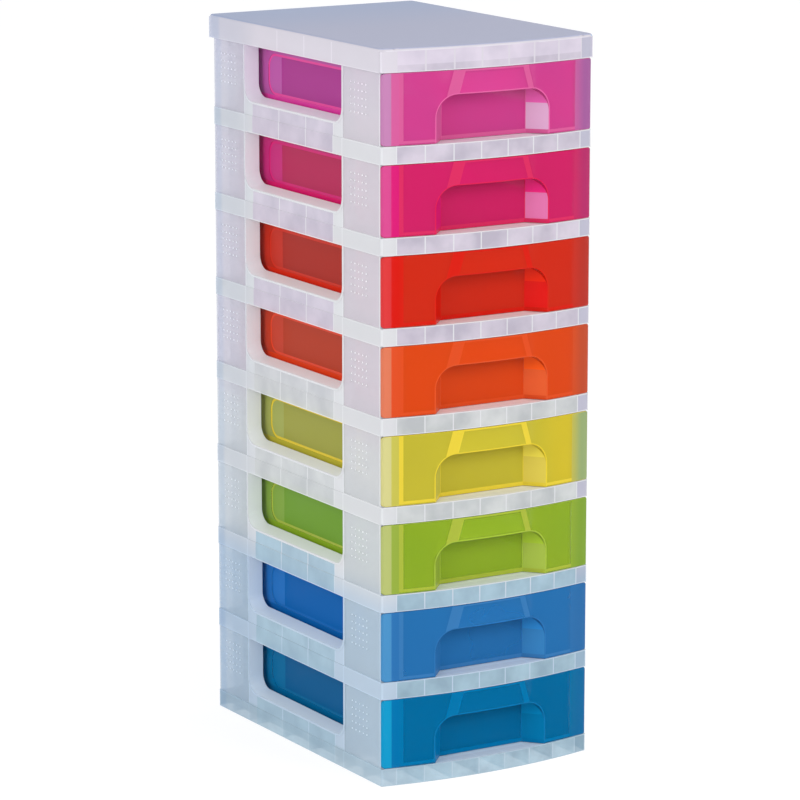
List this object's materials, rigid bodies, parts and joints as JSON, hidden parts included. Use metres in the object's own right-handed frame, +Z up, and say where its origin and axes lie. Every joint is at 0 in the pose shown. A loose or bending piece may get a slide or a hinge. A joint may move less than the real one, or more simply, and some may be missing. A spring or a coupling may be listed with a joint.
{
  "type": "plastic drawer tower",
  "caption": "Tall free-standing tower of stacked translucent frames, each with a bowed, coloured, see-through pull-out drawer, under a flat cover.",
  "frame": {"origin": "bottom centre of the tower's bounding box, on the floor", "axes": "+Z up, +X to the right as seen from the front, the bowed drawer fronts face -Y"},
  "size_m": [0.303, 0.4436, 0.9095],
  "materials": {
    "frame_clear": "milky translucent polypropylene, fine satin",
    "cover_grey": "milky grey polypropylene with a fine matt grain",
    "drawer_deep_blue": "see-through deep blue polypropylene, smooth",
    "drawer_mid_blue": "see-through mid blue polypropylene, smooth",
    "drawer_lime": "see-through lime polypropylene, smooth",
    "drawer_yellow": "see-through yellow polypropylene, smooth",
    "drawer_orange": "see-through orange polypropylene, smooth",
    "drawer_red": "see-through red polypropylene, smooth",
    "drawer_raspberry": "see-through raspberry polypropylene, smooth",
    "drawer_pink": "see-through pink polypropylene, smooth"
  },
  "bodies": {
    "tower": {"tier_frame_1": "frame_clear", "tier_frame_2": "frame_clear", "tier_frame_3": "frame_clear", "tier_frame_4": "frame_clear", "tier_frame_5": "frame_clear", "tier_frame_6": "frame_clear", "tier_frame_7": "frame_clear", "tier_frame_8": "frame_clear", "top_cover": "cover_grey"},
    "drawer_1": {"drawer_1": "drawer_deep_blue"},
    "drawer_2": {"drawer_2": "drawer_mid_blue"},
    "drawer_3": {"drawer_3": "drawer_lime"},
    "drawer_4": {"drawer_4": "drawer_yellow"},
    "drawer_5": {"drawer_5": "drawer_orange"},
    "drawer_6": {"drawer_6": "drawer_red"},
    "drawer_7": {"drawer_7": "drawer_raspberry"},
    "drawer_8": {"drawer_8": "drawer_pink"}
  },
  "joints": [
    {"name": "drawer_1_slide", "type": "slide", "parent": "tower", "child": "drawer_1", "axis": [0, -1, 0], "range_m": [0, 0.29]},
    {"name": "drawer_2_slide", "type": "slide", "parent": "tower", "child": "drawer_2", "axis": [0, -1, 0], "range_m": [0, 0.29]},
    {"name": "drawer_3_slide", "type": "slide", "parent": "tower", "child": "drawer_3", "axis": [0, -1, 0], "range_m": [0, 0.29]},
    {"name": "drawer_4_slide", "type": "slide", "parent": "tower", "child": "drawer_4", "axis": [0, -1, 0], "range_m": [0, 0.29]},
    {"name": "drawer_5_slide", "type": "slide", "parent": "tower", "child": "drawer_5", "axis": [0, -1, 0], "range_m": [0, 0.29]},
    {"name": "drawer_6_slide", "type": "slide", "parent": "tower", "child": "drawer_6", "axis": [0, -1, 0], "range_m": [0, 0.29]},
    {"name": "drawer_7_slide", "type": "slide", "parent": "tower", "child": "drawer_7", "axis": [0, -1, 0], "range_m": [0, 0.29]},
    {"name": "drawer_8_slide", "type": "slide", "parent": "tower", "child": "drawer_8", "axis": [0, -1, 0], "range_m": [0, 0.29]}
  ]
}
